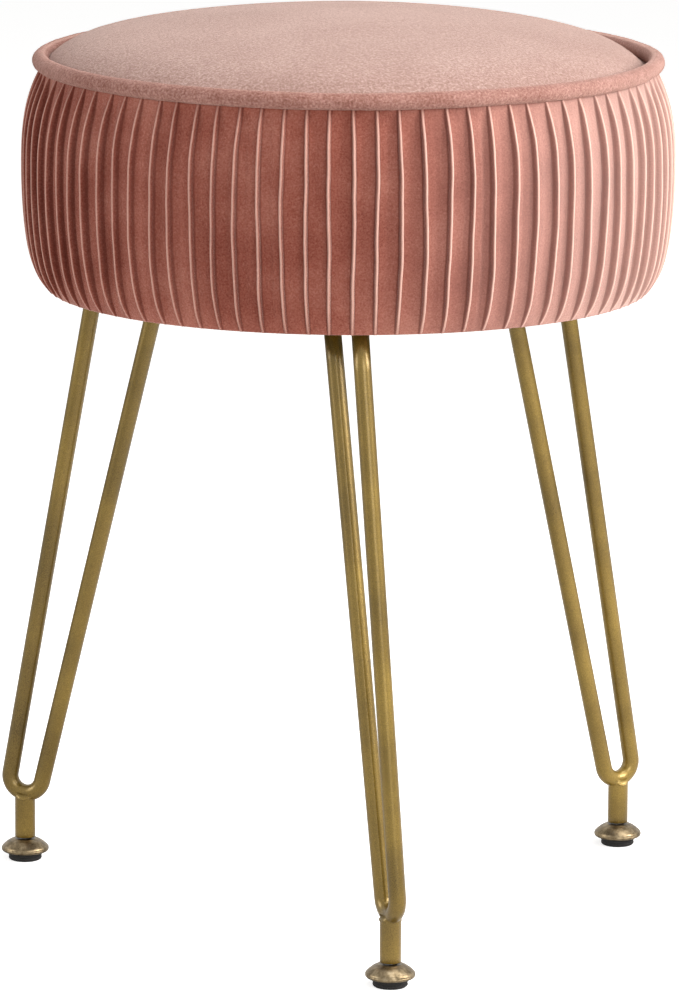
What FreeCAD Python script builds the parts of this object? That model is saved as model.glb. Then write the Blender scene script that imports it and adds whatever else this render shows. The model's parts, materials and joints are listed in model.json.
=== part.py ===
import FreeCAD, Part
import math
import os

import Sketcher
from FreeCAD import Placement, Rotation, Vector

# Round vanity stool: a drum seat with a domed top, a welt and a pleated side,
# on three hairpin legs that end in levelling feet.
# The origin is on the floor under the middle of the whole stool, +Z is up,
# and one leg stands on -Y.

os.makedirs("parts", exist_ok=True)
doc = FreeCAD.newDocument("vanity_stool")

# Driving dimensions, in millimetres and degrees: name, value, what it measures.
DIMENSIONS = [
    ("seat_diameter", 361.0, "across the pleats at the widest"),
    ("underside_height", 348.0, "floor to the bottom edge of the pleats"),
    ("side_height", 120.6, "height of the pleated side"),
    ("lower_draw_in", 13.6, "side drawn in at its bottom edge"),
    ("upper_draw_in", 10.8, "side drawn in under the welt"),
    ("pleat_depth", 4.5, "crest of a pleat to the bottom of its flute"),
    ("pleat_count", 87.0, "pleats round the seat"),
    ("crest_width", 2.6, "width of the folded edge of a pleat"),
    ("fabric_thickness", 1.2, "velvet with its backing"),
    ("hem_width", 20.0, "velvet turned in under the board"),
    ("edge_roll", 4.5, "bottom edge of the pleats below the lining"),
    ("piping_diameter", 8.7, "covered welt"),
    ("cord_diameter", 6.3, "cord inside the welt"),
    ("piping_inset", 11.0, "seat radius to the middle of the welt"),
    ("welt_clearance", 0.35, "top cover to welt"),
    ("crown_height", 31.4, "top of the crown above the side"),
    ("crown_drop", 18.5, "top of the crown to its shoulder"),
    ("shoulder_width", 14.8, "rounded rim of the crown, seen from above"),
    ("shoulder_radius", 24.0, "radius of that rim"),
    ("rim_height", 2.0, "straight edge of the crown above the side"),
    ("board_thickness", 15.0, "plywood base"),
    ("board_inset", 20.5, "seat radius to the edge of the board"),
    ("hem_thickness", 1.2, "velvet between board and dust cover"),
    ("dust_cover_thickness", 0.8, "black lining under the seat"),
    ("dust_cover_inset", 4.0, "edge of the board to the edge of the lining"),
    ("staple_width", 10.0, "crown of a staple"),
    ("staple_wire", 0.9, "wire of a staple"),
    ("staple_edge", 4.0, "staple line to the edge of the lining"),
    ("leg_circle_diameter", 398.0, "circle through the three feet"),
    ("front_turn_angle", 16.0, "front hairpin's plane off the radius"),
    ("right_turn_angle", -3.0, "right hairpin's plane off the radius"),
    ("left_turn_angle", 5.0, "left hairpin's plane off the radius"),
    ("rod_diameter", 9.5, "hairpin rod"),
    ("bend_radius", 9.8, "hairpin bend, to the middle of the rod"),
    ("bend_height", 49.0, "floor to the middle of the bend"),
    ("bend_inset", 0.9, "foot axis to the middle of the bend"),
    ("rod_spacing", 39.3, "between the two ends of a hairpin at its plate"),
    ("plate_inset", 26.5, "edge of the board to the middle of a plate"),
    ("stem_diameter", 11.6, "stub under the bend"),
    ("stem_gap", 0.8, "foot dome to the stub"),
    ("plate_length", 50.0, "leg plate along the hairpin"),
    ("plate_width", 42.0, "leg plate across the hairpin"),
    ("plate_thickness", 3.0, "leg plate"),
    ("plate_corner", 18.0, "corner radius of the leg plate"),
    ("bolt_diameter", 6.0, "bolt shank"),
    ("bolt_length", 19.0, "under the head"),
    ("bolt_head_diameter", 11.0, "pan head"),
    ("bolt_head_height", 3.6, "pan head"),
    ("bolt_pitch_along", 16.0, "bolts along the hairpin"),
    ("bolt_pitch_across", 30.0, "bolts across the hairpin"),
    ("bolt_clearance", 0.25, "round the bolt shank"),
    ("nut_barrel_diameter", 8.4, "barrel of the tee nut"),
    ("nut_barrel_length", 9.0, "barrel of the tee nut"),
    ("nut_flange_diameter", 14.0, "flange of the tee nut"),
    ("nut_flange_thickness", 1.4, "flange of the tee nut"),
    ("nut_clearance", 0.1, "tee nut to its hole"),
    ("stud_diameter", 8.0, "threaded stud of the foot"),
    ("stud_clearance", 0.1, "stud to the bore of the stub"),
    ("stud_top", 32.0, "floor to the upper end of the stud"),
    ("bore_end_gap", 1.0, "stud to the end of the bore"),
    ("dome_diameter", 27.0, "foot dome"),
    ("dome_neck_diameter", 14.0, "flat on top of the dome"),
    ("dome_height", 8.0, "foot dome"),
    ("dome_edge", 2.8, "underside of the dome to its widest"),
    ("dome_crown_radius", 10.0, "curve over the dome"),
    ("pad_diameter", 19.0, "rubber pad"),
    ("pad_height", 4.2, "rubber pad"),
    ("pad_chamfer", 0.8, "lower edge of the pad"),
    ("pad_spigot_diameter", 9.0, "spigot of the pad in the dome"),
    ("pad_spigot_height", 1.6, "spigot of the pad in the dome"),
    ("pad_clearance", 0.3, "pad to dome"),
]

sheet = doc.addObject("Spreadsheet::Sheet", "Sizes")
for row, (alias, number, note) in enumerate(DIMENSIONS, start=1):
    sheet.set(f"A{row}", note)
    sheet.set(f"B{row}", str(number))
    sheet.setAlias(f"B{row}", alias)
doc.recompute()


class Size:
    """A length that carries its number and the sheet formula it comes from."""

    def __init__(self, number, formula):
        self.number = number
        self.formula = formula

    @staticmethod
    def of(other):
        """Give a plain number the form of a Size."""
        if isinstance(other, Size):
            return other
        return Size(float(other), f"({other})")

    def __add__(self, other):
        other = Size.of(other)
        return Size(self.number + other.number, f"({self.formula} + {other.formula})")

    def __sub__(self, other):
        other = Size.of(other)
        return Size(self.number - other.number, f"({self.formula} - {other.formula})")

    def __mul__(self, other):
        other = Size.of(other)
        return Size(self.number * other.number, f"({self.formula} * {other.formula})")

    def __truediv__(self, other):
        other = Size.of(other)
        return Size(self.number / other.number, f"({self.formula} / {other.formula})")

    def __neg__(self):
        return self * -1


def size(alias):
    """Read one cell of the sheet."""
    return Size(float(sheet.get(alias)), f"Sizes.{alias}")


ZERO = Size(0.0, "0")

# Sizes that follow from the driving ones.
seat_radius = size("seat_diameter") / 2
side_top = size("underside_height") + size("side_height")
piping_radius = size("piping_diameter") / 2
piping_ring_radius = seat_radius - size("piping_inset")
piping_height = side_top + piping_radius
board_radius = seat_radius - size("board_inset")
dust_cover_radius = board_radius - size("dust_cover_inset")
cover_bottom = size("underside_height") + size("edge_roll")
board_bottom = cover_bottom + size("hem_thickness") + size("dust_cover_thickness")
board_top = board_bottom + size("board_thickness")
plate_bottom = cover_bottom - size("plate_thickness")
leg_circle_radius = size("leg_circle_diameter") / 2
rod_radius = size("rod_diameter") / 2
stud_radius = size("stud_diameter") / 2
dome_radius = size("dome_diameter") / 2
dome_bottom = size("pad_height") + size("pad_clearance")
dome_top = dome_bottom + size("dome_height")
stem_bottom = dome_top + size("stem_gap")

# The front leg reaches further than the seat does at the back, so the seat's
# axis stands this far behind the middle of the whole stool.
seat_axis_y = (leg_circle_radius + dome_radius - seat_radius) / 2
SEAT = Placement(Vector(0, seat_axis_y.number, 0), Rotation())

# Outline of the pleated side, from its bottom edge up: share of the side's
# height, which draw-in the crests follow there and how much of it, and share
# of the pleat's depth.
SIDE_OUTLINE = [
    (0.0, "lower_draw_in", 1.0, 0.45),
    (0.10, "lower_draw_in", 0.44, 0.85),
    (0.30, "lower_draw_in", 0.14, 1.0),
    (0.55, "lower_draw_in", 0.0, 1.0),
    (0.75, "upper_draw_in", 0.11, 1.0),
    (0.89, "upper_draw_in", 0.43, 0.9),
    (1.0, "upper_draw_in", 1.0, 0.45),
]

# Bearing of each leg from the front one, and the turn of its hairpin.
LEGS = {
    "front": (0.0, size("front_turn_angle")),
    "right": (120.0, size("right_turn_angle")),
    "left": (240.0, size("left_turn_angle")),
}


def bind(feature, lengths):
    """Tie the properties of a feature to the sheet."""
    for name, length in lengths.items():
        feature.setExpression(name, length.formula)


def cylinder(name, radius, height, base=ZERO):
    """Upright cylinder on its own axis, standing at a height."""
    solid = doc.addObject("Part::Cylinder", name)
    bind(solid, {"Radius": radius, "Height": height, "Placement.Base.z": base})
    return solid


def cut(name, base, tool):
    """One piece less another."""
    result = doc.addObject("Part::Cut", name)
    result.Base = base
    result.Tool = tool
    return result


def group(name, pieces):
    """Separate solids under one name."""
    result = doc.addObject("Part::Compound", name)
    result.Links = pieces
    return result


def fuse(name, pieces):
    """Several solids as one."""
    result = doc.addObject("Part::MultiFuse", name)
    result.Shapes = pieces
    return result


def arc_centre(start, end, radius):
    """Centre of the arc that runs counter-clockwise from start to end."""
    half = (end - start) * 0.5
    rise = math.sqrt(max(radius * radius - half.Length * half.Length, 0.0))
    normal = Vector(-half.y, half.x, 0)
    normal.normalize()
    return start + half + normal * rise


def fix_point(sketch, place, across, up):
    """Hold one point of a sketch at its two coordinates from the origin."""
    geometry, point = place
    for kind, axis, length in (("DistanceX", -2, across), ("DistanceY", -1, up)):
        if length.formula == "0":
            sketch.addConstraint(Sketcher.Constraint("PointOnObject", geometry, point, axis))
            continue
        index = sketch.addConstraint(
            Sketcher.Constraint(kind, -1, 1, geometry, point, length.number))
        sketch.setExpression(f"Constraints[{index}]", length.formula)


def draw_outline(sketch, corners, closed=True):
    """Draw straight lines and counter-clockwise arcs through the corners.

    A corner is (across, up) or (across, up, radius), where the radius is that
    of the arc from this corner to the next.
    """
    places = [Vector(corner[0].number, corner[1].number, 0) for corner in corners]
    spans = len(corners) if closed else len(corners) - 1
    ends = []
    for index in range(spans):
        start = places[index]
        end = places[(index + 1) % len(places)]
        if len(corners[index]) == 3:
            centre = arc_centre(start, end, corners[index][2].number)
            first = math.atan2(start.y - centre.y, start.x - centre.x)
            last = math.atan2(end.y - centre.y, end.x - centre.x)
            circle = Part.Circle(centre, Vector(0, 0, 1), corners[index][2].number)
            geometry = sketch.addGeometry(Part.ArcOfCircle(circle, first, last))
            limit = sketch.addConstraint(
                Sketcher.Constraint("Radius", geometry, corners[index][2].number))
            sketch.setExpression(f"Constraints[{limit}]", corners[index][2].formula)
        else:
            geometry = sketch.addGeometry(Part.LineSegment(start, end))
        ends.append(geometry)
    for index in range(spans - 1):
        sketch.addConstraint(
            Sketcher.Constraint("Coincident", ends[index], 2, ends[index + 1], 1))
    if closed:
        sketch.addConstraint(Sketcher.Constraint("Coincident", ends[-1], 2, ends[0], 1))
    for index in range(spans):
        fix_point(sketch, (ends[index], 1), corners[index][0], corners[index][1])
    if not closed:
        fix_point(sketch, (ends[-1], 2), corners[-1][0], corners[-1][1])


def origin_plane(body, role):
    """One of the three planes of a body's own origin."""
    for feature in body.Origin.OriginFeatures:
        if feature.Role == role:
            return feature
    raise ValueError(role)


def body_sketch(body, name, role):
    """Empty sketch on one plane of its body."""
    sketch = body.newObject("Sketcher::SketchObject", name)
    sketch.AttachmentSupport = [(origin_plane(body, role), "")]
    sketch.MapMode = "FlatFace"
    return sketch


def revolved(name, corners):
    """Body turned about the vertical axis from a closed outline."""
    body = doc.addObject("PartDesign::Body", name)
    sketch = body_sketch(body, f"{name}_outline", "XZ_Plane")
    draw_outline(sketch, corners)
    turn = body.newObject("PartDesign::Revolution", f"{name}_turn")
    turn.Profile = sketch
    turn.ReferenceAxis = (sketch, ["V_Axis"])
    turn.Angle = 360.0
    return body


def leg_placement(leg):
    """Where a leg stands: the foot axis, with local +X along the hairpin's plane."""
    angle, turn = LEGS[leg]
    bearing = math.radians(angle - 90.0)
    foot = Vector(math.cos(bearing), math.sin(bearing), 0) * leg_circle_radius.number
    spin = Rotation(Vector(0, 0, 1), angle - 90.0 + turn.number)
    return SEAT.multiply(Placement(foot, spin))


def plate_middle():
    """Local x of the middle of the leg plate."""
    return board_radius.number - size("plate_inset").number - leg_circle_radius.number


def rod_slope(side):
    """Slope from the upright of the outer rod, +1, or the inner, -1.

    A rod runs from its place at the plate to a tangent of the bend.
    """
    across = plate_middle() + side * size("rod_spacing").number / 2 + size("bend_inset").number
    rise = plate_bottom.number - size("bend_height").number
    lean = math.atan2(-across, rise)
    return lean + side * math.asin(size("bend_radius").number / math.hypot(across, rise))


def bolt_places():
    """Local x and y of the four bolts of a leg."""
    along = size("bolt_pitch_along").number / 2
    across = size("bolt_pitch_across").number / 2
    return [(plate_middle() + i * along, j * across) for i in (-1, 1) for j in (-1, 1)]


def bolt_spots():
    """Place of every bolt of the stool, in the stool's frame."""
    spots = []
    for leg in LEGS:
        for across, over in bolt_places():
            spots.append(leg_placement(leg).multVec(Vector(across, over, 0)))
    return spots


def at(feature, spot):
    """Move a feature sideways to a spot, keeping its height."""
    feature.Placement.Base.x = spot.x
    feature.Placement.Base.y = spot.y
    return feature


def bolt_holes(name, radius, height, base):
    """Cylinders that cut the bolt holes out of a piece of the seat."""
    holes = []
    for index, spot in enumerate(bolt_spots()):
        holes.append(at(cylinder(f"{name}_{index}", radius, height, base), spot))
    return holes


def make_base_board():
    """Plywood disc with the counterbored holes for the tee nuts."""
    disc = at(cylinder("board_disc", board_radius, size("board_thickness"), board_bottom), SEAT.Base)
    bore = size("nut_barrel_diameter") / 2 + size("nut_clearance")
    seat = size("nut_flange_diameter") / 2 + size("nut_clearance")
    depth = size("nut_flange_thickness")
    holes = bolt_holes("board_bore", bore, size("board_thickness"), board_bottom)
    holes += bolt_holes("board_recess", seat, depth, board_top - depth)
    return cut("base_board", disc, fuse("board_holes", holes))


def side_arcs(angle, deeper, skin=0.0):
    """Three arcs that follow the side from its bottom edge up, in one upright plane."""
    points = []
    for share, draw_in, draw_share, depth_share in SIDE_OUTLINE:
        inset = size(draw_in).number * draw_share + deeper * depth_share + skin
        radius = seat_radius.number - inset
        height = size("underside_height").number + share * size("side_height").number
        points.append(Vector(radius * math.cos(angle), radius * math.sin(angle), height))
    return [Part.Arc(*points[first:first + 3]).toShape() for first in (0, 2, 4)]


def level_face(edges, last, opening):
    """Flat face through the lower or upper ends of the side arcs, with a round opening."""
    corners = []
    for arcs in edges:
        edge = arcs[-1] if last else arcs[0]
        corners.append(edge.lastVertex().Point if last else edge.firstVertex().Point)
    middle = Vector(0, 0, corners[0].z)
    circle = Part.Wire(Part.makeCircle(opening, middle))
    return Part.Face([Part.makePolygon(corners + corners[:1]), circle])


def pleat_arcs():
    """Side arcs of every fold in turn: both edges of a crest, then the flute's bottom."""
    count = int(round(size("pleat_count").number))
    depth = size("pleat_depth").number
    half_crest = size("crest_width").number / 2 / seat_radius.number
    pitch = 2 * math.pi / count
    edges = []
    for index in range(count):
        middle = index * pitch
        edges.append(side_arcs(middle - half_crest, 0.0))
        edges.append(side_arcs(middle + half_crest, 0.0))
        edges.append(side_arcs(middle + pitch / 2, depth))
    return edges


def core_form():
    """Foam drum that fills the side, from the board up to the welt."""
    arcs = side_arcs(0.0, size("pleat_depth").number, size("fabric_thickness").number)
    foot = arcs[0].firstVertex().Point
    head = arcs[-1].lastVertex().Point
    lines = [
        Part.makeLine(head, Vector(0, 0, head.z)),
        Part.makeLine(Vector(0, 0, head.z), Vector(0, 0, foot.z)),
        Part.makeLine(Vector(0, 0, foot.z), foot),
    ]
    profile = Part.Face(Part.Wire(arcs + lines))
    drum = profile.revolve(Vector(0, 0, 0), Vector(0, 0, 1), 360)
    below = Part.makeCylinder(2 * seat_radius.number, board_top.number)
    return drum.cut(below)


def level_radius(solid, height):
    """Radius of the round solid's flat end at a height."""
    for face in solid.Faces:
        if abs(face.BoundBox.ZMax - height) < 1e-6 and face.BoundBox.ZLength < 1e-6:
            return face.BoundBox.XMax
    raise ValueError(height)


def side_form(core):
    """Pleated velvet from the welt down, rolled in at its bottom edge, with its hem under the board."""
    hem_bottom = board_bottom.number - size("hem_thickness").number
    lining_radius = dust_cover_radius.number
    hem_radius = board_radius.number - size("hem_width").number
    roll_depth = size("pleat_depth").number * SIDE_OUTLINE[0][3] + size("fabric_thickness").number
    roll_radius = seat_radius.number - size("lower_draw_in").number - roll_depth
    inside = [
        (level_radius(core, board_top.number), board_top.number),
        (board_radius.number, board_top.number),
        (board_radius.number, board_bottom.number),
        (hem_radius, board_bottom.number),
        (hem_radius, hem_bottom),
        (lining_radius, hem_bottom),
        (lining_radius, cover_bottom.number),
        (roll_radius, cover_bottom.number),
        (roll_radius, size("underside_height").number),
    ]
    edges = pleat_arcs()
    faces = [
        level_face(edges, False, roll_radius),
        level_face(edges, True, level_radius(core, side_top.number)),
    ]
    for here, there in zip(edges, edges[1:] + edges[:1]):
        for low, high in zip(here, there):
            faces.append(Part.makeRuledSurface(low, high))
    faces += [face for face in core.Faces if face.BoundBox.ZLength > 1e-6]
    for (first, low), (second, high) in zip(inside, inside[1:]):
        line = Part.makeLine(Vector(first, 0, low), Vector(second, 0, high))
        faces.append(line.revolve(Vector(0, 0, 0), Vector(0, 0, 1), 360))
    skin = Part.makeCompound(faces)
    skin.sewShape()
    solid = Part.Solid(Part.Shell(skin.Faces))
    solid.fix(1e-6, 1e-6, 1e-6)
    if solid.Volume < 0:
        solid.reverse()
    return solid


def make_side_and_core():
    """The foam drum, and the pleated velvet that is drawn over it."""
    core = doc.addObject("Part::Feature", "foam_core")
    core.Shape = core_form()
    hole_radius = size("bolt_diameter").number / 2 + size("bolt_clearance").number
    holes = [Part.makeCylinder(hole_radius, board_bottom.number, spot - SEAT.Base)
             for spot in bolt_spots()]
    side = doc.addObject("Part::Feature", "pleated_side")
    side.Shape = side_form(core.Shape).cut(holes)
    side.Placement = SEAT
    core.Placement = SEAT


def crown_corners(skin):
    """Outline of the crown over the axis, as much inside the cover as asked."""
    edge = piping_ring_radius - piping_radius - size("welt_clearance") - skin
    shoulder = edge - size("shoulder_width")
    apex = side_top + size("crown_height") - skin
    shoulder_up = apex - size("crown_drop")
    drop = apex - shoulder_up
    crown = (shoulder * shoulder + drop * drop) / (drop * 2)
    return [
        (edge, side_top),
        (edge, side_top + size("rim_height"), size("shoulder_radius") - skin),
        (shoulder, shoulder_up, crown),
        (ZERO, apex),
    ]


def make_top():
    """Crowned pad and the velvet panel stretched over it."""
    skin = size("fabric_thickness")
    pad = revolved("top_pad", [(ZERO, side_top)] + crown_corners(skin))
    pad.Placement = SEAT
    whole = revolved("cover_form", [(ZERO, side_top)] + crown_corners(ZERO))
    hollow = revolved("cover_hollow", [(ZERO, side_top)] + crown_corners(skin))
    cut("top_cover", whole, hollow).Placement = SEAT


def ring(name, tube):
    """Closed ring on the line of the welt."""
    torus = doc.addObject("Part::Torus", name)
    bind(torus, {"Radius1": piping_ring_radius, "Radius2": tube, "Placement.Base.z": piping_height})
    return at(torus, SEAT.Base)


def make_piping():
    """Welt round the crown: a cord inside a tube of velvet."""
    cord_radius = size("cord_diameter") / 2
    ring("piping_cord", cord_radius)
    cut("piping", ring("piping_form", piping_radius), ring("piping_bore", cord_radius))


def make_dust_cover():
    """Black lining under the seat, pierced by the leg bolts."""
    disc = at(
        cylinder("lining_disc", dust_cover_radius, size("dust_cover_thickness"), cover_bottom),
        SEAT.Base)
    bore = size("bolt_diameter") / 2 + size("bolt_clearance")
    holes = bolt_holes("lining_hole", bore, size("dust_cover_thickness"), cover_bottom)
    cut("dust_cover", disc, fuse("lining_holes", holes))


def make_staples():
    """Staples that hold the lining, in the three bays between the leg plates."""
    radius = dust_cover_radius.number - size("staple_edge").number
    staples = []
    for bay in (-30.0, 90.0, 210.0):
        for step in (-2.5, -1.5, -0.5, 0.5, 1.5, 2.5):
            bearing = bay + step * 13.0
            staple = doc.addObject("Part::Box", f"staple_{len(staples)}")
            bind(staple, {"Length": size("staple_wire"), "Width": size("staple_width"),
                          "Height": size("staple_wire")})
            spin = Rotation(Vector(0, 0, 1), bearing)
            corner = Vector(radius, -size("staple_width").number / 2,
                            cover_bottom.number - size("staple_wire").number)
            staple.Placement = SEAT.multiply(Placement(spin.multVec(corner), spin))
            staples.append(staple)
    group("cover_staples", staples)


def make_bolts(leg):
    """Four pan-head bolts through the leg plate."""
    bolts = []
    head_height = size("bolt_head_height")
    for index, (across, over) in enumerate(bolt_places()):
        head = cylinder(f"bolt_head_{leg}_{index}", size("bolt_head_diameter") / 2,
                        head_height, plate_bottom - head_height)
        shank = cylinder(f"bolt_shank_{leg}_{index}", size("bolt_diameter") / 2,
                         size("bolt_length"), plate_bottom)
        bolt = fuse(f"bolt_{leg}_{index}", [head, shank])
        bolts.append(at(bolt, Vector(across, over, 0)))
    group(f"leg_bolts_{leg}", bolts).Placement = leg_placement(leg)


def make_tee_nuts(leg):
    """Four tee nuts let into the top of the board."""
    nuts = []
    bolt_bore = size("bolt_diameter") / 2 + size("nut_clearance")
    for index, (across, over) in enumerate(bolt_places()):
        name = f"{leg}_{index}"
        flange_low = board_top - size("nut_flange_thickness")
        flange = cylinder(f"nut_flange_{name}", size("nut_flange_diameter") / 2,
                          size("nut_flange_thickness"), flange_low)
        barrel = cylinder(f"nut_barrel_{name}", size("nut_barrel_diameter") / 2,
                          size("nut_barrel_length"), flange_low - size("nut_barrel_length"))
        solid = fuse(f"nut_solid_{name}", [flange, barrel])
        bore = cylinder(f"nut_bore_{name}", bolt_bore, size("board_thickness"), board_bottom)
        nuts.append(at(cut(f"nut_{name}", solid, bore), Vector(across, over, 0)))
    group(f"tee_nuts_{leg}", nuts).Placement = leg_placement(leg)


def make_leg_plate(leg):
    """Steel plate with rounded corners and four bolt holes."""
    body = doc.addObject("PartDesign::Body", f"leg_plate_{leg}")
    sketch = body_sketch(body, f"plate_outline_{leg}", "XY_Plane")
    half = size("plate_length") / 2
    wide = size("plate_width") / 2
    draw_outline(sketch, [(-half, -wide), (half, -wide), (half, wide), (-half, wide)])
    pad = body.newObject("PartDesign::Pad", f"plate_pad_{leg}")
    pad.Profile = sketch
    bind(pad, {"Length": size("plate_thickness")})
    doc.recompute()
    corners = []
    for index, edge in enumerate(pad.Shape.Edges, start=1):
        if abs(edge.tangentAt(edge.FirstParameter).z) > 0.9:
            corners.append(f"Edge{index}")
    rounding = body.newObject("PartDesign::Fillet", f"plate_corners_{leg}")
    rounding.Base = (pad, corners)
    bind(rounding, {"Radius": size("plate_corner")})
    holes = body_sketch(body, f"plate_hole_places_{leg}", "XY_Plane")
    radius = size("bolt_diameter") / 2 + size("bolt_clearance")
    for i in (-1, 1):
        for j in (-1, 1):
            across = size("bolt_pitch_along") / 2 * i
            over = size("bolt_pitch_across") / 2 * j
            centre = Vector(across.number, over.number, 0)
            circle = holes.addGeometry(Part.Circle(centre, Vector(0, 0, 1), radius.number))
            limit = holes.addConstraint(Sketcher.Constraint("Radius", circle, radius.number))
            holes.setExpression(f"Constraints[{limit}]", radius.formula)
            fix_point(holes, (circle, 3), across, over)
    pocket = body.newObject("PartDesign::Pocket", f"plate_holes_{leg}")
    pocket.Profile = holes
    pocket.Type = "ThroughAll"
    pocket.Reversed = True
    body.Placement = leg_placement(leg).multiply(
        Placement(Vector(plate_middle(), 0, plate_bottom.number), Rotation()))


def hairpin_points():
    """Bend end, upper end and direction of both rods, and the foot of the bend."""
    radius = size("bend_radius").number
    middle = Vector(-size("bend_inset").number, 0, size("bend_height").number)
    top = plate_bottom.number + size("rod_diameter").number
    points = []
    for side in (1, -1):
        slope = rod_slope(side)
        tangent = middle + Vector(math.cos(slope), 0, math.sin(slope)) * radius * side
        along = Vector(-math.sin(slope), 0, math.cos(slope))
        points.append((tangent, tangent + along * ((top - tangent.z) / math.cos(slope)), along))
    splay = (rod_slope(1) + rod_slope(-1)) / 2
    foot = middle + Vector(math.sin(splay), 0, -math.cos(splay)) * radius
    return points, foot


def hairpin_sweep(name):
    """Round rod swept down one side, round the bend and up the other."""
    (outer, inner), foot = hairpin_points()
    path = doc.addObject("Part::Feature", f"{name}_path")
    path.Shape = Part.Wire([
        Part.makeLine(outer[1], outer[0]),
        Part.Arc(outer[0], foot, inner[0]).toShape(),
        Part.makeLine(inner[0], inner[1]),
    ])
    section = doc.addObject("Part::Circle", f"{name}_section")
    bind(section, {"Radius": rod_radius})
    section.Placement = Placement(outer[1], Rotation(Vector(0, 0, 1), outer[2]))
    sweep = doc.addObject("Part::Sweep", f"{name}_rod")
    sweep.Sections = [section]
    sweep.Spine = (path, ["Edge1", "Edge2", "Edge3"])
    sweep.Solid = True
    sweep.Frenet = False
    return sweep


def make_hairpin(leg):
    """Hairpin of bent rod, cut level where it is welded to the plate."""
    name = f"hairpin_{leg}"
    above = doc.addObject("Part::Box", f"{name}_above")
    reach = size("leg_circle_diameter")
    bind(above, {"Length": reach, "Width": reach, "Height": reach,
                 "Placement.Base.x": -reach / 2, "Placement.Base.y": -reach / 2,
                 "Placement.Base.z": plate_bottom})
    rod = cut(f"hairpin_rod_{leg}", hairpin_sweep(name), above)
    rod.Placement = leg_placement(leg)


def make_stem(leg):
    """Stub under the bend, saddled to the rod and bored for the foot's stud."""
    radius = size("stem_diameter") / 2
    post = cylinder(f"stem_post_{leg}", radius, size("bend_height") - stem_bottom, stem_bottom)
    bore = cylinder(f"stem_bore_{leg}", stud_radius + size("stud_clearance"),
                    size("stud_top") + size("bore_end_gap") - stem_bottom, stem_bottom)
    # The bend's own wall, as a ring, and the room inside the bend are taken off.
    saddle = doc.addObject("Part::Torus", f"stem_saddle_{leg}")
    bind(saddle, {"Radius1": size("bend_radius"), "Radius2": rod_radius})
    saddle.Placement = Placement(
        Vector(-size("bend_inset").number, 0, size("bend_height").number),
        Rotation(Vector(1, 0, 0), 90))
    eye = doc.addObject("Part::Cylinder", f"stem_eye_{leg}")
    bind(eye, {"Radius": size("bend_radius"), "Height": size("stem_diameter") * 2})
    eye.Placement = Placement(
        Vector(-size("bend_inset").number, size("stem_diameter").number,
               size("bend_height").number), Rotation(Vector(1, 0, 0), 90))
    tools = fuse(f"stem_tools_{leg}", [bore, saddle, eye])
    stem = cut(f"leg_stem_{leg}", post, tools)
    stem.Placement = leg_placement(leg)


def make_foot(leg):
    """Levelling foot: rubber pad, dome and the stud that screws into the stub."""
    spot = leg_placement(leg)
    spigot = size("pad_spigot_diameter") / 2
    pad_radius = size("pad_diameter") / 2
    chamfer = size("pad_chamfer")
    pad_top = size("pad_height")
    pad = revolved(f"foot_pad_{leg}", [
        (ZERO, ZERO),
        (pad_radius - chamfer, ZERO),
        (pad_radius, chamfer),
        (pad_radius, pad_top),
        (spigot, pad_top),
        (spigot, pad_top + size("pad_spigot_height")),
        (ZERO, pad_top + size("pad_spigot_height")),
    ])
    pad.Placement = spot
    socket = spigot + size("pad_clearance")
    socket_top = pad_top + size("pad_spigot_height") + size("pad_clearance")
    widest = dome_bottom + size("dome_edge")
    dome = revolved(f"foot_dome_{leg}", [
        (stud_radius, socket_top),
        (socket, socket_top),
        (socket, dome_bottom),
        (dome_radius - size("pad_chamfer"), dome_bottom, size("dome_edge")),
        (dome_radius, widest, size("dome_crown_radius")),
        (size("dome_neck_diameter") / 2, dome_top),
        (stud_radius, dome_top),
    ])
    dome.Placement = spot
    stud = cylinder(f"foot_stud_{leg}", stud_radius, size("stud_top") - socket_top, socket_top)
    stud.Placement = spot.multiply(stud.Placement)


def write_parts(names):
    """Check every object, then write each named piece to its own file."""
    doc.recompute()
    for feature in doc.Objects:
        if "Invalid" in feature.State or "Error" in feature.State:
            raise RuntimeError(f"{feature.Name} failed: {feature.State}")
    for name in names:
        piece = doc.getObject(name)
        piece.Label = name
        if piece.Shape.isNull() or not piece.Shape.isValid() or not piece.Shape.Solids:
            raise RuntimeError(f"{name} is not a valid solid")
    for name in names:
        shape = doc.getObject(name).Shape
        shape.exportStep(f"parts/{name}.step")
        print(name, len(shape.Solids), "solids", round(shape.Volume), "mm3")


SEAT_PIECES = [
    "base_board", "foam_core", "pleated_side", "top_pad", "top_cover",
    "piping", "piping_cord", "dust_cover", "cover_staples",
]
LEG_PIECES = [
    "leg_plate", "hairpin_rod", "leg_stem", "leg_bolts", "tee_nuts",
    "foot_stud", "foot_dome", "foot_pad",
]

make_base_board()
make_side_and_core()
make_top()
make_piping()
make_dust_cover()
make_staples()
for leg in LEGS:
    make_leg_plate(leg)
    make_hairpin(leg)
    make_stem(leg)
    make_bolts(leg)
    make_tee_nuts(leg)
    make_foot(leg)
write_parts(SEAT_PIECES + [f"{piece}_{leg}" for leg in LEGS for piece in LEG_PIECES])
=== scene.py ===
"""Vanity stool: velvet drum seat with a welt and pleats, on three gold hairpin legs.

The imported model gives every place; this script gives the looks. Sizes in the
classes are millimetres, and a mesh is turned to metres when it is made.
"""

import json
import logging
import math
from dataclasses import dataclass
from enum import Enum
from functools import cache
from typing import Any, Sequence

import bmesh
import bpy
import numpy as np
from mathutils import Matrix, Vector


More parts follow.
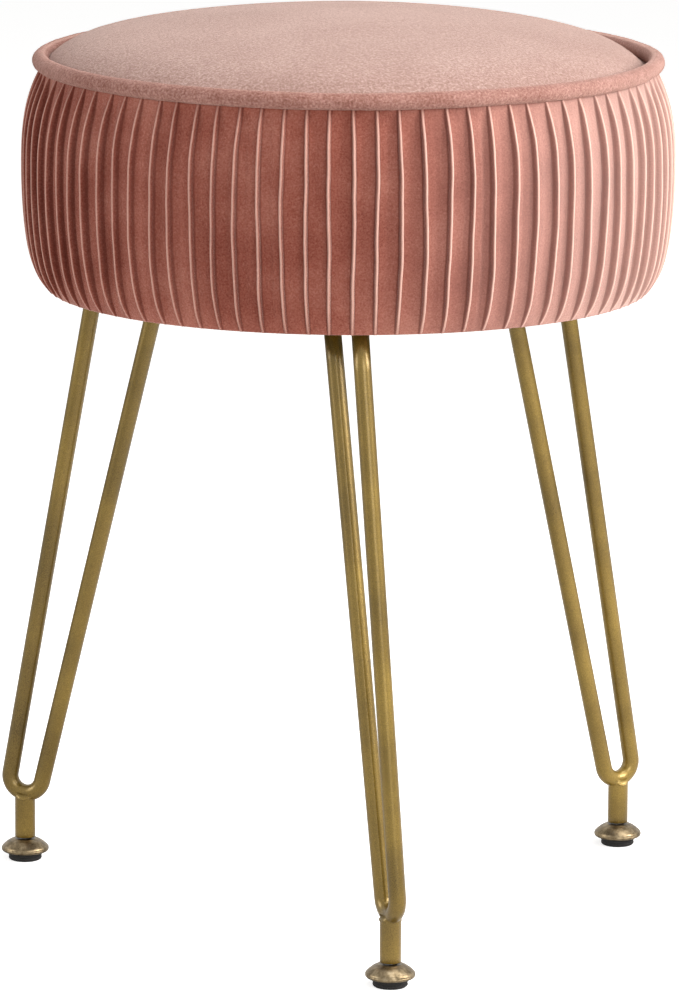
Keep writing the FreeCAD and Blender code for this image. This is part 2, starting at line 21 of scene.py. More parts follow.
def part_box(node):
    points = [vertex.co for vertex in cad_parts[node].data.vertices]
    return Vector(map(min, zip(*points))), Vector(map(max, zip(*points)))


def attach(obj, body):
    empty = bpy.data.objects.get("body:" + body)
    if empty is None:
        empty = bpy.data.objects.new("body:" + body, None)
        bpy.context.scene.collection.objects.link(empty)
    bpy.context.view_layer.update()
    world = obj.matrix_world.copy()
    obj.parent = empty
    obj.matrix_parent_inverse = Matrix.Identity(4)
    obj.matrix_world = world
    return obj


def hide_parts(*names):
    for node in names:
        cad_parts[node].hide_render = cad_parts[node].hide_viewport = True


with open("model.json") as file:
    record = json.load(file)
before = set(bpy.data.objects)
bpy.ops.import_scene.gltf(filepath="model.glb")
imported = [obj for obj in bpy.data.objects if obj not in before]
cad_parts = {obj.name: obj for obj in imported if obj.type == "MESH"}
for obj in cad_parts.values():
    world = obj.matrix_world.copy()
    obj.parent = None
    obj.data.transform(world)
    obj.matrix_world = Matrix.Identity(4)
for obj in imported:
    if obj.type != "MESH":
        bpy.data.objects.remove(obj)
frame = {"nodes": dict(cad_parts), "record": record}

LOG = logging.getLogger("vanity_stool")
MM = 0.001
SEED = 4107
LEGS = ("front", "right", "left")


class Slot(Enum):
    """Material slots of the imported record."""

    VELVET = "velvet"
    PIPING = "velvet_piping"
    FOAM = "foam"
    CORD = "cord"
    LINING = "lining"
    PLYWOOD = "plywood"
    GOLD = "gold_paint"
    NICKEL = "antique_nickel"
    ZINC = "zinc_steel"
    RUBBER = "rubber"


def linear(code: str) -> tuple[float, float, float, float]:
    """Linear red, green, blue and an alpha of 1, from an sRGB hex colour."""
    levels = np.array([int(code[i:i + 2], 16) for i in (0, 2, 4)]) / 255.0
    bright = ((levels + 0.055) / 1.055) ** 2.4
    red, green, blue = np.where(levels <= 0.04045, levels / 12.92, bright)
    return float(red), float(green), float(blue), 1.0


def add_node(tree: bpy.types.NodeTree, kind: str, inputs: dict[Any, Any] | None = None,
             **settings: Any) -> bpy.types.Node:
    """Add a node with its settings, and fill or link its inputs by name or number."""
    node = tree.nodes.new(kind)
    for name, value in settings.items():
        setattr(node, name, value)
    for key, value in (inputs or {}).items():
        if isinstance(value, bpy.types.NodeSocket):
            tree.links.new(value, node.inputs[key])
        else:
            node.inputs[key].default_value = value
    return node


def ramp(tree: bpy.types.NodeTree, source: bpy.types.NodeSocket,
         stops: Sequence[tuple[float, str]]) -> bpy.types.NodeSocket:
    """Colour that a ramp of positions and hex colours gives for the source."""
    node = add_node(tree, "ShaderNodeValToRGB", {"Fac": source})
    elements = node.color_ramp.elements
    while len(elements) < len(stops):
        elements.new(0.5)
    for element, (position, code) in zip(elements, stops):
        element.position = position
        element.color = linear(code)
    return node.outputs["Color"]


def mix(tree: bpy.types.NodeTree, share: Any, first: Any, second: Any,
        colours: bool = False) -> bpy.types.NodeSocket:
    """Mix of two values, or of two colours, by a share between 0 and 1."""
    kind, one, two, result = ("RGBA", 6, 7, 2) if colours else ("FLOAT", 2, 3, 0)
    node = add_node(tree, "ShaderNodeMix", {0: share, one: first, two: second}, data_type=kind)
    return node.outputs[result]


@dataclass(frozen=True)
class Finish:
    """Start of every finish: a named material with a principled shader."""

    name: str
    roughness: float = 0.5
    metallic: float = 0.0

    def start(self) -> tuple[bpy.types.Material, bpy.types.NodeTree, bpy.types.Node]:
        """Make the material and hand back its tree and shader."""
        material = bpy.data.materials.new(self.name)
        material.use_nodes = True
        tree = material.node_tree
        shader = tree.nodes["Principled BSDF"]
        shader.inputs["Roughness"].default_value = self.roughness
        shader.inputs["Metallic"].default_value = self.metallic
        return material, tree, shader

    @staticmethod
    def place(tree: bpy.types.NodeTree) -> bpy.types.NodeSocket:
        """Object coordinates, in metres."""
        return add_node(tree, "ShaderNodeTexCoord").outputs["Object"]

    @staticmethod
    def noise(tree: bpy.types.NodeTree, place: bpy.types.NodeSocket, size_mm: float,
              detail: float = 2.0, rough: float = 0.5) -> bpy.types.NodeSocket:
        """Noise whose blobs measure size_mm."""
        return add_node(tree, "ShaderNodeTexNoise", {
            "Vector": place, "Scale": 1.0 / (size_mm * MM), "Detail": detail,
            "Roughness": rough}).outputs["Fac"]

    @staticmethod
    def bump(tree: bpy.types.NodeTree, shader: bpy.types.Node, height: bpy.types.NodeSocket,
             depth_mm: float, strength: float = 1.0) -> None:
        """Bump the shader by a height pattern whose full depth is depth_mm."""
        node = add_node(tree, "ShaderNodeBump", {
            "Height": height, "Distance": depth_mm * MM, "Strength": strength})
        tree.links.new(node.outputs["Normal"], shader.inputs["Normal"])


@dataclass(frozen=True)
class Velvet(Finish):
    """Short-pile polyester velvet, woven and sheared.

    Its colour holds a painted highlight on fold edges, painted shade in creases
    and painted light on one side; the shader adds a sheen at every turn.
    """

    pile_dark: str = "844234"
    pile: str = "9e5b4c"
    pile_pale: str = "b57666"
    # Painted highlight along the fold edges.
    painted_fold_highlight: str = "efc6b7"
    # Painted shade in the creases.
    crease: str = "5a251b"
    # Painted light: colour of the side of the drum that the lamp lights.
    painted_lit_side: str = "cdb0a7"
    sheen_tint: str = "f8d9cd"
    sheen: float = 0.9
    sheen_roughness: float = 0.40
    speckle_mm: float = 1.0
    brushed_mm: float = 32.0
    specular: float = 0.15
    speckle_share: float = 0.6
    pile_bump_mm: float = 0.4

    def build(self) -> bpy.types.Material:
        """Pile colour from brushed patches and speckle, with painted light and shade: a highlight
        on fold edges, shade in creases, a paler lit side.
        """
        material, tree, shader = self.start()
        place = self.place(tree)
        patches = self.noise(tree, place, self.brushed_mm, 2.0)
        speckle = self.noise(tree, place, self.speckle_mm, 4.0, 0.7)
        cloth = ramp(tree, mix(tree, self.speckle_share, patches, speckle), [
            (0.36, self.pile_dark), (0.5, self.pile), (0.64, self.pile_pale)])
        # Painted light and shade stored on the piece: the lit side's share, and the fold highlight
        # or crease shade.
        lit_side_share, turn = (add_node(tree, "ShaderNodeAttribute", attribute_name=name).outputs["Fac"]
                     for name in ("painted_side_light", "painted_fold_light_and_shade"))
        crease_shade_share = add_node(tree, "ShaderNodeMath", {0: turn, 1: -1.0}, operation="MULTIPLY")
        # Painted light: the side towards the lamp is mixed paler, then a painted highlight on fold
        # edges and painted shade in creases.
        lit_side_cloth = mix(tree, lit_side_share, cloth, linear(self.painted_lit_side), True)
        fold_highlighted = mix(tree, turn, lit_side_cloth, linear(self.painted_fold_highlight), True)
        crease_shaded = mix(tree, crease_shade_share.outputs[0], fold_highlighted, linear(self.crease), True)
        tree.links.new(crease_shaded, shader.inputs["Base Color"])
        shader.inputs["Specular IOR Level"].default_value = self.specular
        shader.inputs["Sheen Weight"].default_value = self.sheen
        shader.inputs["Sheen Roughness"].default_value = self.sheen_roughness
        shader.inputs["Sheen Tint"].default_value = linear(self.sheen_tint)
        self.bump(tree, shader, speckle, self.pile_bump_mm)
        return material


@dataclass(frozen=True)
class MottledFinish(Finish):
    """Even finish whose colour wanders a little: foam, rubber, cord or zinc plate."""

    dark: str = "202020"
    pale: str = "303030"
    grain_mm: float = 2.0
    detail: float = 5.0
    rough: float = 0.65
    depth_mm: float = 0.1
    specular: float = 0.4

    def build(self) -> bpy.types.Material:
        """Two tones and a bump from one noise."""
        material, tree, shader = self.start()
        grain = self.noise(tree, self.place(tree), self.grain_mm, self.detail, self.rough)
        tree.links.new(ramp(tree, grain, [(0.35, self.dark), (0.65, self.pale)]),
                       shader.inputs["Base Color"])
        shader.inputs["Specular IOR Level"].default_value = self.specular
        self.bump(tree, shader, grain, self.depth_mm)
        return material


@dataclass(frozen=True)
class WovenLining(Finish):
    """Black spunbonded polypropylene, calendered in a fine point pattern."""

    thread: str = "17171a"
    pit: str = "0b0b0c"
    pitch_mm: float = 1.6

    def build(self) -> bpy.types.Material:
        """Rows of pressed points, drawn twice as coarse as the real ones so that they show."""
        material, tree, shader = self.start()
        place = self.place(tree)
        cells = add_node(tree, "ShaderNodeTexVoronoi", {
            "Vector": place, "Scale": 1.0 / (self.pitch_mm * MM), "Randomness": 0.25})
        tree.links.new(ramp(tree, cells.outputs["Distance"], [
            (0.15, self.pit), (0.5, self.thread)]), shader.inputs["Base Color"])
        self.bump(tree, shader, cells.outputs["Distance"], 0.12)
        return material


@dataclass(frozen=True)
class GoldPaint(Finish):
    """Steel sprayed with gold metallic paint: satin, with a faint orange peel."""

    shade: str = "544212"
    body: str = "7c6424"
    bright: str = "9b8036"
    flake_mm: float = 0.5
    flake_share: float = 0.4
    peel_mm: float = 1.6
    drift_mm: float = 45.0
    coat: float = 0.4
    coat_roughness: float = 0.22

    def build(self) -> bpy.types.Material:
        """Colour drifts along the rod, flakes speckle it and the peel bumps it."""
        material, tree, shader = self.start()
        place = self.place(tree)
        drift = self.noise(tree, place, self.drift_mm, 2.0)
        flake = self.noise(tree, place, self.flake_mm, 1.0)
        tree.links.new(ramp(tree, mix(tree, self.flake_share, drift, flake), [
            (0.3, self.shade), (0.5, self.body), (0.7, self.bright)]),
            shader.inputs["Base Color"])
        shader.inputs["Coat Weight"].default_value = self.coat
        shader.inputs["Coat Roughness"].default_value = self.coat_roughness
        self.bump(tree, shader, self.noise(tree, place, self.peel_mm, 1.0), 0.03)
        return material


@dataclass(frozen=True)
class AntiqueNickel(Finish):
    """Spun steel plated in warm antique nickel, polished, with dark in the marks."""

    tarnish: str = "4c4130"
    body: str = "84745a"
    bright: str = "a5977d"
    scratch_mm: float = 0.7
    cloud_mm: float = 3.2

    def build(self) -> bpy.types.Material:
        """Clouds of tarnish under fine scratches that also rough the gloss."""
        material, tree, shader = self.start()
        place = self.place(tree)
        cloud = self.noise(tree, place, self.cloud_mm, 5.0, 0.7)
        scratch = self.noise(tree, place, self.scratch_mm, 4.0, 0.8)
        tree.links.new(ramp(tree, cloud, [
            (0.3, self.tarnish), (0.52, self.body), (0.75, self.bright)]),
            shader.inputs["Base Color"])
        gloss = add_node(tree, "ShaderNodeMapRange", {
            "Value": scratch, "To Min": self.roughness - 0.08, "To Max": self.roughness + 0.18})
        tree.links.new(gloss.outputs["Result"], shader.inputs["Roughness"])
        self.bump(tree, shader, scratch, 0.03)
        return material


@dataclass(frozen=True)
class BirchPlywood(Finish):
    """Rotary-cut birch plywood, sanded, with plies along its edge."""

    early: str = "c9a877"
    late: str = "a67c4c"
    ply_mm: float = 1.5
    ply_share: float = 0.3

    def build(self) -> bpy.types.Material:
        """Long grain on the faces and level plies through the thickness."""
        material, tree, shader = self.start()
        place = self.place(tree)
        stretched = add_node(tree, "ShaderNodeMapping", {
            "Vector": place, "Scale": (1.0, 9.0, 1.0)})
        grain = self.noise(tree, stretched.outputs["Vector"], 30.0, 6.0, 0.6)
        plies = add_node(tree, "ShaderNodeTexWave", {
            "Vector": place, "Scale": 1.0 / (self.ply_mm * MM * 2 * math.pi),
            "Distortion": 0.4}, bands_direction="Z")
        mixed = mix(tree, self.ply_share, grain, plies.outputs["Fac"])
        tree.links.new(ramp(tree, mixed, [(0.3, self.late), (0.7, self.early)]),
                       shader.inputs["Base Color"])
        self.bump(tree, shader, grain, 0.08)
        return material


# Paler, greyer copy of the velvet for the top panel: painted light, for a top lit from above and
# seen at a grazing angle.
PAINTED_LIT_CROWN_VELVET = Velvet("dusty_pink_velvet_painted_lit_top", roughness=0.9, pile_dark="957469",
                      pile="ae8d83", pile_pale="c9aca3", sheen_tint="f6dfd6", sheen=0.55,
                      brushed_mm=60.0, speckle_mm=1.35, speckle_share=0.85, pile_bump_mm=0.8)

FINISHES: dict[Slot, Finish] = {
    # Side velvet, with painted light and shade read from the marks stored on the side.
    Slot.VELVET: Velvet("dusty_pink_velvet_painted_light_and_shade", roughness=0.9),
    # Paler copy of the velvet for the welt: painted light on its rounded top.
    Slot.PIPING: Velvet("dusty_pink_velvet_painted_lit_welt", roughness=0.9, pile_dark="824f44",
                        pile="a17266", pile_pale="c09388", sheen=0.5, brushed_mm=18.0,
                        speckle_mm=1.3, speckle_share=0.8, pile_bump_mm=0.9),
    Slot.FOAM: MottledFinish("polyurethane_foam", roughness=0.95, dark="d8cba0", pale="ece2c0",
                             grain_mm=1.2, depth_mm=0.5),
    Slot.CORD: MottledFinish("twisted_paper_cord", roughness=0.9, dark="b9ad93", pale="d8cfb8",
                             grain_mm=1.0, depth_mm=0.2),
    Slot.LINING: WovenLining("black_spunbond_lining", roughness=0.85),
    Slot.PLYWOOD: BirchPlywood("sanded_birch_plywood", roughness=0.6),
    Slot.GOLD: GoldPaint("gold_sprayed_steel", roughness=0.34, metallic=0.5),
    Slot.NICKEL: AntiqueNickel("antique_nickel_plate", roughness=0.3, metallic=1.0),
    Slot.ZINC: MottledFinish("zinc_plated_steel", roughness=0.35, metallic=1.0, dark="7e8286",
                             pale="b4b7b8", grain_mm=1.5, detail=3.0, rough=0.5,
                             depth_mm=0.02, specular=0.5),
    Slot.RUBBER: MottledFinish("moulded_black_rubber", roughness=0.7, dark="151414",
                               pale="262423", grain_mm=0.8, depth_mm=0.05),
}


@cache
def material_of(finish: Finish) -> bpy.types.Material:
    """Material of a finish, made when it is first asked for."""
    return finish.build()


def add_object(name: str, data: bpy.types.ID) -> bpy.types.Object:
    """New object, linked to the scene."""
    item = bpy.data.objects.new(name, data)
    bpy.context.scene.collection.objects.link(item)
    return item


def close_poles(mesh: bpy.types.Mesh) -> None:
    """Join the points that lie together, and drop the edges that this leaves bare."""
    form = bmesh.new()
    form.from_mesh(mesh)
    bmesh.ops.remove_doubles(form, verts=form.verts, dist=1e-7)
    bare = [edge for edge in form.edges if not edge.link_faces]
    bmesh.ops.delete(form, geom=bare, context="EDGES")
    form.to_mesh(mesh)
    form.free()


def make_piece(name: str, points: np.ndarray, faces: np.ndarray, slot: Slot, body: str,
               replaced: Sequence[str] = (), finish: Finish | None = None,
               poles: bool = False) -> bpy.types.Object:
    """Turn points and faces into a smooth piece of the stool.

    Args:
        name: name of the piece.
        points: places in millimetres, one row each.
        faces: corner numbers, one row each.
        slot: material slot of the piece.
        body: body that the piece rides on.
        replaced: nodes that the piece stands for.
        finish: finish of its own, where it differs from the slot's.
        poles: rings of no radius are joined to one point.

    Returns:
        The new object, at the origin.
    """
    mesh = bpy.data.meshes.new(name)
    mesh.from_pydata((points * MM).tolist(), [], faces.tolist())
    if poles:
        close_poles(mesh)
    mesh.polygons.foreach_set("use_smooth", np.ones(len(mesh.polygons), bool))
    mesh.materials.append(material_of(finish or FINISHES[slot]))
    mesh.update()
    piece = add_object(name, mesh)
    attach(piece, body)
    if replaced:
        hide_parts(*replaced)
    LOG.info("%s: %d faces", name, len(mesh.polygons))
    return piece


def grid_faces(rows: int, columns: int) -> np.ndarray:
    """Corner numbers of the faces of a grid of rings, of which the last joins the first."""
    row = np.arange(rows)[:, None]
    column = np.arange(columns)[None, :]
    after = (row + 1) % rows
    beside = (column + 1) % columns
    corners = [row * columns + column, row * columns + beside,
               after * columns + beside, after * columns + column]
    return np.stack(np.broadcast_arrays(*corners), axis=-1).reshape(-1, 4)


def facing_out(points: np.ndarray, faces: np.ndarray) -> np.ndarray:
    """Turn the faces of a closed skin outwards, by the sign of its volume."""
    a, b, c = (points[faces[:, i]] for i in (0, 1, 2))
    d = points[faces[:, -1]]
    volume = np.einsum("ij,ij->i", a, np.cross(b, c)) + np.einsum("ij,ij->i", a, np.cross(c, d))
    return faces if volume.sum() > 0 else faces[:, ::-1]


def closed_skin(rings: np.ndarray) -> tuple[np.ndarray, np.ndarray]:
    """Points and outward faces of rings that run round a closed section."""
    points = rings.reshape(-1, 3)
    return points, facing_out(points, grid_faces(rings.shape[0], rings.shape[1]))


def circle(count: int) -> np.ndarray:
    """Even angles once round, in radians."""
    return np.arange(count) * 2 * math.pi / count


def ring_points(centre: np.ndarray, radius: np.ndarray, angle: np.ndarray,
                height: np.ndarray) -> np.ndarray:
    """Points about an upright axis through centre, one ring in each row."""
    return np.stack([centre[0] + radius * np.cos(angle), centre[1] + radius * np.sin(angle),
                     height], axis=-1)


def turned(outline: np.ndarray, columns: int, centre: np.ndarray) -> tuple[np.ndarray, np.ndarray]:
    """Closed skin of an outline of radii and heights, turned about an upright axis."""
    angle = circle(columns)
    height = np.broadcast_to(outline[:, 1:2], (len(outline), columns))
    return closed_skin(ring_points(centre, outline[:, :1], angle, height))


def polished(outline: Sequence[tuple[float, float, float]], steps: int = 5) -> np.ndarray:
    """Round the corners of an outline by quadratic curves.

    Args:
        outline: radius, height and rounding of each corner, in order round the section.
        steps: points along each rounded corner.
    """
    corners = np.array([(r, z) for r, z, _ in outline])
    before, after = np.roll(corners, 1, axis=0), np.roll(corners, -1, axis=0)
    result = []
    for corner, last, following, (_, _, size) in zip(corners, before, after, outline):
        if size <= 0:
            result.append(corner[None, :])
            continue
        start = corner + (last - corner) * min(size / np.linalg.norm(last - corner), 0.5)
        end = corner + (following - corner) * min(size / np.linalg.norm(following - corner), 0.5)
        t = np.linspace(0, 1, steps)[:, None]
        result.append((1 - t) ** 2 * start + 2 * t * (1 - t) * corner + t ** 2 * end)
    return np.concatenate(result)


def node_box(node: str) -> np.ndarray:
    """Lowest and highest corners of a node's box, in millimetres."""
    return np.array([tuple(corner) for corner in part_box(node)]) / MM


def node_centre(node: str) -> np.ndarray:
    """Middle of a node's box, in millimetres."""
    low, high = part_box(node)
    return (np.array(low) + np.array(high)) / 2 / MM


def waves(angle: np.ndarray, counts: Sequence[int], rng: np.random.Generator) -> np.ndarray:
    """Sum of sines round the seat, with random phases, between about -1 and 1."""
    total = np.zeros_like(angle)
    for count in counts:
        total = total + np.sin(count * angle + rng.uniform(0, 2 * math.pi)) / len(counts)
    return total


class Seat:
    """Velvet seat: crowned panel, welt, pleated side, and the foam inside them."""

    pleats: int = 87
    first_pleat: float = -0.245
    pleat_depth: float = 4.6
    crest_half: float = 0.05
    flank: float = 0.036
    sag: float = 0.14
    wander: float = 0.075
    shift: float = 0.45
    lean: float = 0.7
    sways: tuple[tuple[float, float, float, int], ...] = (
        (0.35, 2.2, 2, 2), (0.14, 5.4, 5, 0), (0.07, 11.0, 7, 1))
    # Painted light and shade of the side: shade in the creases, a highlight on the crests, a paler
    # side facing the lamp.
    crease_shade_half: float = 0.045
    crease_shade_depth: float = 0.75
    lit_side_crease_shade_depth: float = 0.25
    least_crest_highlight: float = 0.5
    painted_light_bearing: float = math.radians(105.0)
    painted_side_light_share: float = 0.7
    lower_draw_in: float = 13.6
    upper_draw_in: float = 10.8
    widest_share: float = 0.55
    fabric: float = 1.2
    edge_roll: float = 4.5
    hem_width: float = 20.0
    side_rows: int = 44
    crown_round: float = 0.60
    crown_turn: float = 12.0
    crown_lean: float = 2.8
    seam_dip: float = 2.6
    gather_height: float = 0.7
    piping_radius: float = 4.6

    def __init__(self) -> None:
        """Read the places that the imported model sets."""
        low, high = node_box("pleated_side")
        self.centre = (low + high)[:2] / 2
        self.radius = (high - low)[0] / 2
        self.underside, self.side_top = low[2], high[2]
        low, high = node_box("base_board")
        self.board_radius = (high - low)[0] / 2
        self.board_bottom, self.board_top = low[2], high[2]
        low, high = node_box("top_cover")
        self.apex = high[2]
        self.panel_radius = (high - low)[0] / 2
        low, high = node_box("piping")
        self.ring_radius = (high - low)[0] / 2 - self.piping_radius
        self.ring_height = (high + low)[2] / 2

    def side_radius(self, share: np.ndarray) -> np.ndarray:
        """Radius of the crests at a share of the side's height.

        Below the widest place the draw-in is half a square and half a seventh
        power of the distance from it, and above it a 2.9th power.
        """
        below = np.clip((self.widest_share - share) / self.widest_share, 0, None)
        above = np.clip((share - self.widest_share) / (1 - self.widest_share), 0, None)
        lower = self.lower_draw_in * (0.5 * below ** 2 + 0.5 * below ** 7)
        return self.radius - lower - self.upper_draw_in * above ** 2.9

    def fold(self, offset: np.ndarray) -> np.ndarray:
        """Depth share across one pleat.

        It is a shallow square over the crest, a 1.7th power down the flank, so
        that the flank ends in a sharp corner, and a half sine across the flute.

        Args:
            offset: place across the pleat, -0.5 to 0.5, with its crest at 0.

        Returns:
            Share of the pleat's depth.
        """
        away = np.abs(offset)
        t = np.clip((away - self.crest_half) / self.flank, 0, 1)
        wall = t ** 1.7
        round_top = 0.10 * np.clip(away / self.crest_half, 0, 1) ** 2 * (1 - wall)
        across = np.clip((away - self.crest_half) / (0.5 - self.crest_half), 0, 1)
        flute = self.sag * np.sin(across * math.pi / 2)
        return round_top + wall * (1 - self.sag) + wall * flute

    def pleat_columns(self) -> tuple[np.ndarray, np.ndarray]:
        """Offsets across the pleats, close together at the folds, and the pleats' numbers."""
        half = np.array([0.0, 0.024, 0.042, 0.06, 0.078, 0.098, 0.15, 0.25, 0.38])
        offsets = np.concatenate([-half[:0:-1], half, [0.5]])
        number = np.repeat(np.arange(self.pleats), len(offsets))
        return np.tile(offsets, self.pleats), number

    def inner_radius(self, share: np.ndarray) -> np.ndarray:
        """Radius of the velvet's back, under the deepest flute, at a share of the height."""
        return self.side_radius(share) - self.pleat_depth * 1.3 - self.fabric

    def make_side(self) -> None:
        """Pleated velvet: rings up the side, each pushed in by the folds.

        A ring's radius is the outline's less depth times fold. Every crest
        wanders sideways by slow and quick sines of the height with its own phase,
        and the cloth between two crests takes its share from each.
        """
        rng = np.random.default_rng(SEED)
        offset, number = self.pleat_columns()
        share = 0.5 - 0.5 * np.cos(np.linspace(0, math.pi, self.side_rows))
        share = share[:, None]
        push = rng.normal(0, 1, (3, self.pleats))
        deep = 1 + 0.10 * rng.normal(0, 1, self.pleats)[number]
        drift = self.shift * push[0] + self.lean * push[1] * (share - 0.5)
        for size, turns, phase, source in self.sways:
            drift = drift + size * np.sin(turns * math.pi * share + phase * push[source])
        away = np.abs(offset)
        beside = (number + np.sign(offset).astype(int)) % self.pleats
        drift = (1 - away) * drift[:, number] + away * drift[:, beside]
        place = self.first_pleat + number + offset + self.wander * drift
        angle = place * 2 * math.pi / self.pleats
        ends = np.clip(1 - np.abs(2 * share - 1) ** 7, 0, 1)
        depth = self.pleat_depth * deep * (0.12 + 0.88 * ends)
        crease = 0.25 * np.sin(5 * math.pi * offset + 3 * push[2][number]) * np.clip(
            away - 0.16, 0, 1)
        radius = self.side_radius(share) - depth * (self.fold(offset)[None, :] + crease)
        height = self.underside + share * (self.side_top - self.underside)
        height = np.broadcast_to(height, radius.shape)
        level = np.zeros_like(radius[:1])
        below = self.roll_rings(level, radius[:1])
        above = self.back_rings(level, radius[-1:])
        radii = np.concatenate([ring for ring, _ in below] + [radius] + [ring for ring, _ in above])
        heights = np.concatenate([level + z for _, z in below] + [height]
                                 + [level + z for _, z in above])
        pad = [(len(below), len(above)), (0, 0)]
        angles = np.pad(np.broadcast_to(angle, radius.shape), pad, mode="edge")
        points, faces = closed_skin(ring_points(self.centre, radii, angles, heights))
        side = make_piece("pleated_velvet_side", points, faces, Slot.VELVET,
                          "stool", ["pleated_side"])
        # Painted light: the side of the drum towards the lamp is painted paler, the crests get a
        # painted highlight that is stronger there, and the creases get painted shade that is weaker
        # there.
        lit = np.sin(angle + self.painted_light_bearing)
        painted_lit_side = np.clip(lit, 0, 1) ** 2.0
        edge = np.clip(1.4 - away / self.crest_half, 0, 1)
        edge = edge * np.clip(0.62 + 0.6 * lit, self.least_crest_highlight, 1)
        base = self.crest_half + self.flank
        crease_shade_here = self.crease_shade_depth - (self.crease_shade_depth - self.lit_side_crease_shade_depth) * painted_lit_side
        shade = np.clip(1.0 - np.abs(away - base) / self.crease_shade_half, 0, 1) * crease_shade_here
        self.paint_light_and_shade(side, np.pad(edge * (0.4 + 0.6 * ends) - shade, pad),
                       np.pad(self.painted_side_light_share * painted_lit_side, pad))

    def roll_rings(self, level: np.ndarray, first: np.ndarray) -> list[tuple[np.ndarray, float]]:
        """Rings from the board's edge along the hem and round the rolled bottom edge."""
        hem = self.board_radius - self.hem_width
        wall = self.radius - self.lower_draw_in - self.pleat_depth * 0.45 - self.fabric
        lined = self.underside + self.edge_roll
        return [
            (level + self.board_radius + 0.1, self.board_bottom - 0.1),
            (level + hem, self.board_bottom - 0.1), (level + hem, lined + 0.9),
            (level + wall - 7.0, lined + 0.85), (level + wall - 1.2, lined + 0.2),
            (level + wall - 0.1, lined - 1.2), (level + wall, self.underside + 0.6),
            (0.5 * (first + wall), self.underside - 0.5), (first - 0.5, self.underside - 0.45),
        ]

    def back_rings(self, level: np.ndarray, last: np.ndarray) -> list[tuple[np.ndarray, float]]:
        """Rings from the side's top over the seam and down the velvet's back."""
        share = np.linspace(1.0, (self.board_top - self.underside)
                            / (self.side_top - self.underside), 4)
        rings = [(last - 1.0, self.side_top + 0.9), (last - 3.0, self.side_top + 1.2),
                 (level + self.panel_radius - 2.0, self.side_top - 0.2)]
        for part in share:
            back = float(self.inner_radius(np.array(part)))
            rings.append((level + min(back, self.panel_radius - 2.2),
                          self.underside + part * (self.side_top - self.underside) - 0.4))
        rings.append((level + self.board_radius + 0.1, self.board_top))
        return rings

    @staticmethod
    def paint_light_and_shade(piece: bpy.types.Object, turn: np.ndarray, lit_side_share: np.ndarray) -> None:
        """Store painted light and shade at each point, for the velvet to read.

        Args:
            piece: velvet piece.
            turn: 1 for a painted highlight on a fold's edge, and -1 for painted shade in a crease.
            lit_side_share: share of painted light, 1 on the side of the drum that the light falls
                on.
        """
        for name, values in (("painted_fold_light_and_shade", turn), ("painted_side_light", lit_side_share)):
            layer = piece.data.attributes.new(name, "FLOAT", "POINT")
            layer.data.foreach_set("value", values.ravel().astype(np.float32))

    def crown_height(self, share: np.ndarray) -> np.ndarray:
        """Height of the panel at a share of its radius.

        The drop from the apex is mostly a square, with a high power that
        turns the rim down.
        """
        drop = self.apex - self.side_top - self.seam_dip
        bend = self.crown_round * share ** 2 + (1 - self.crown_round) * share ** self.crown_turn
        return self.apex - drop * bend

    def make_panel(self) -> None:
        """Crowned panel over its pad, pulled into small gathers beside the welt."""
        rng = np.random.default_rng(SEED + 1)
        columns = 540
        angle = circle(columns)
        share = np.concatenate([[0.0], np.linspace(0.03, 0.86, 40), np.linspace(0.875, 1, 22)])
        share = share[:, None]
        puckers = waves(angle, (61, 83, 97, 122, 149), rng) * (0.55 + 0.45 * waves(
            angle, (2, 3, 5), rng))
        near = np.clip((share - 0.80) / 0.16, 0, 1) ** 2 * np.clip((1.005 - share) / 0.04, 0, 1)
        near = near * (0.2 + 0.8 * np.clip(-np.cos(angle), 0, 1))
        billow = 0.5 * waves(angle, (2, 3, 4), rng) * share ** 2 * (1 - share ** 6)
        lean = -self.crown_lean * np.cos(angle) * share ** 6
        height = self.crown_height(share) + self.gather_height * puckers * near + billow + lean
        radius = self.panel_radius * np.broadcast_to(share, height.shape)
        low = self.side_top + 0.1
        tuck = [(self.panel_radius, low + 1.2), (self.panel_radius - 1.5, low),
                (self.panel_radius * 0.5, low), (0.0, low)]
        radius = np.concatenate([radius] + [np.full((1, columns), r) for r, _ in tuck])
        height = np.concatenate([height] + [np.full((1, columns), z) for _, z in tuck])
        points, faces = closed_skin(ring_points(self.centre, radius, angle, height))
        panel = make_piece("velvet_top_panel", points, faces, Slot.VELVET,
                           "stool", ["top_cover", "top_pad"], PAINTED_LIT_CROWN_VELVET, poles=True)

    def make_piping(self) -> None:
        """Welt: a tube round the rim whose thickness and height waver, as sewn ones do."""
        rng = np.random.default_rng(SEED + 2)
        columns, around = 720, 28
        angle = circle(columns)[None, :]
        turn = circle(around)[:, None]
        thick = self.piping_radius * (1 + 0.035 * waves(angle, (5, 9, 14, 23, 41), rng)
                                      + 0.018 * waves(angle, (88, 117, 160), rng))
        lift = 0.45 * waves(angle, (2, 3, 5, 7), rng)
        ring = self.ring_radius + 0.3 * waves(angle, (3, 4, 8), rng)
        radius = ring + thick * np.cos(turn)
        height = self.ring_height + lift + thick * np.sin(turn) + 0 * radius
        points, faces = closed_skin(ring_points(self.centre, radius, angle, height))
        welt = make_piece("velvet_piping", points, faces, Slot.PIPING,
                          "stool", ["piping", "piping_cord"])
        # Painted highlight along the welt's upper inner side next to the panel, and painted light
        # on the side of the drum towards the lamp.
        seam = np.clip(1 - np.abs(turn - 1.95) / 0.30, 0, 1) * 0.55
        painted_lit_side = 0.15 * np.clip(np.sin(angle + self.painted_light_bearing), 0, 1) + 0 * turn
        self.paint_light_and_shade(welt, np.broadcast_to(seam, (around, columns)), painted_lit_side)

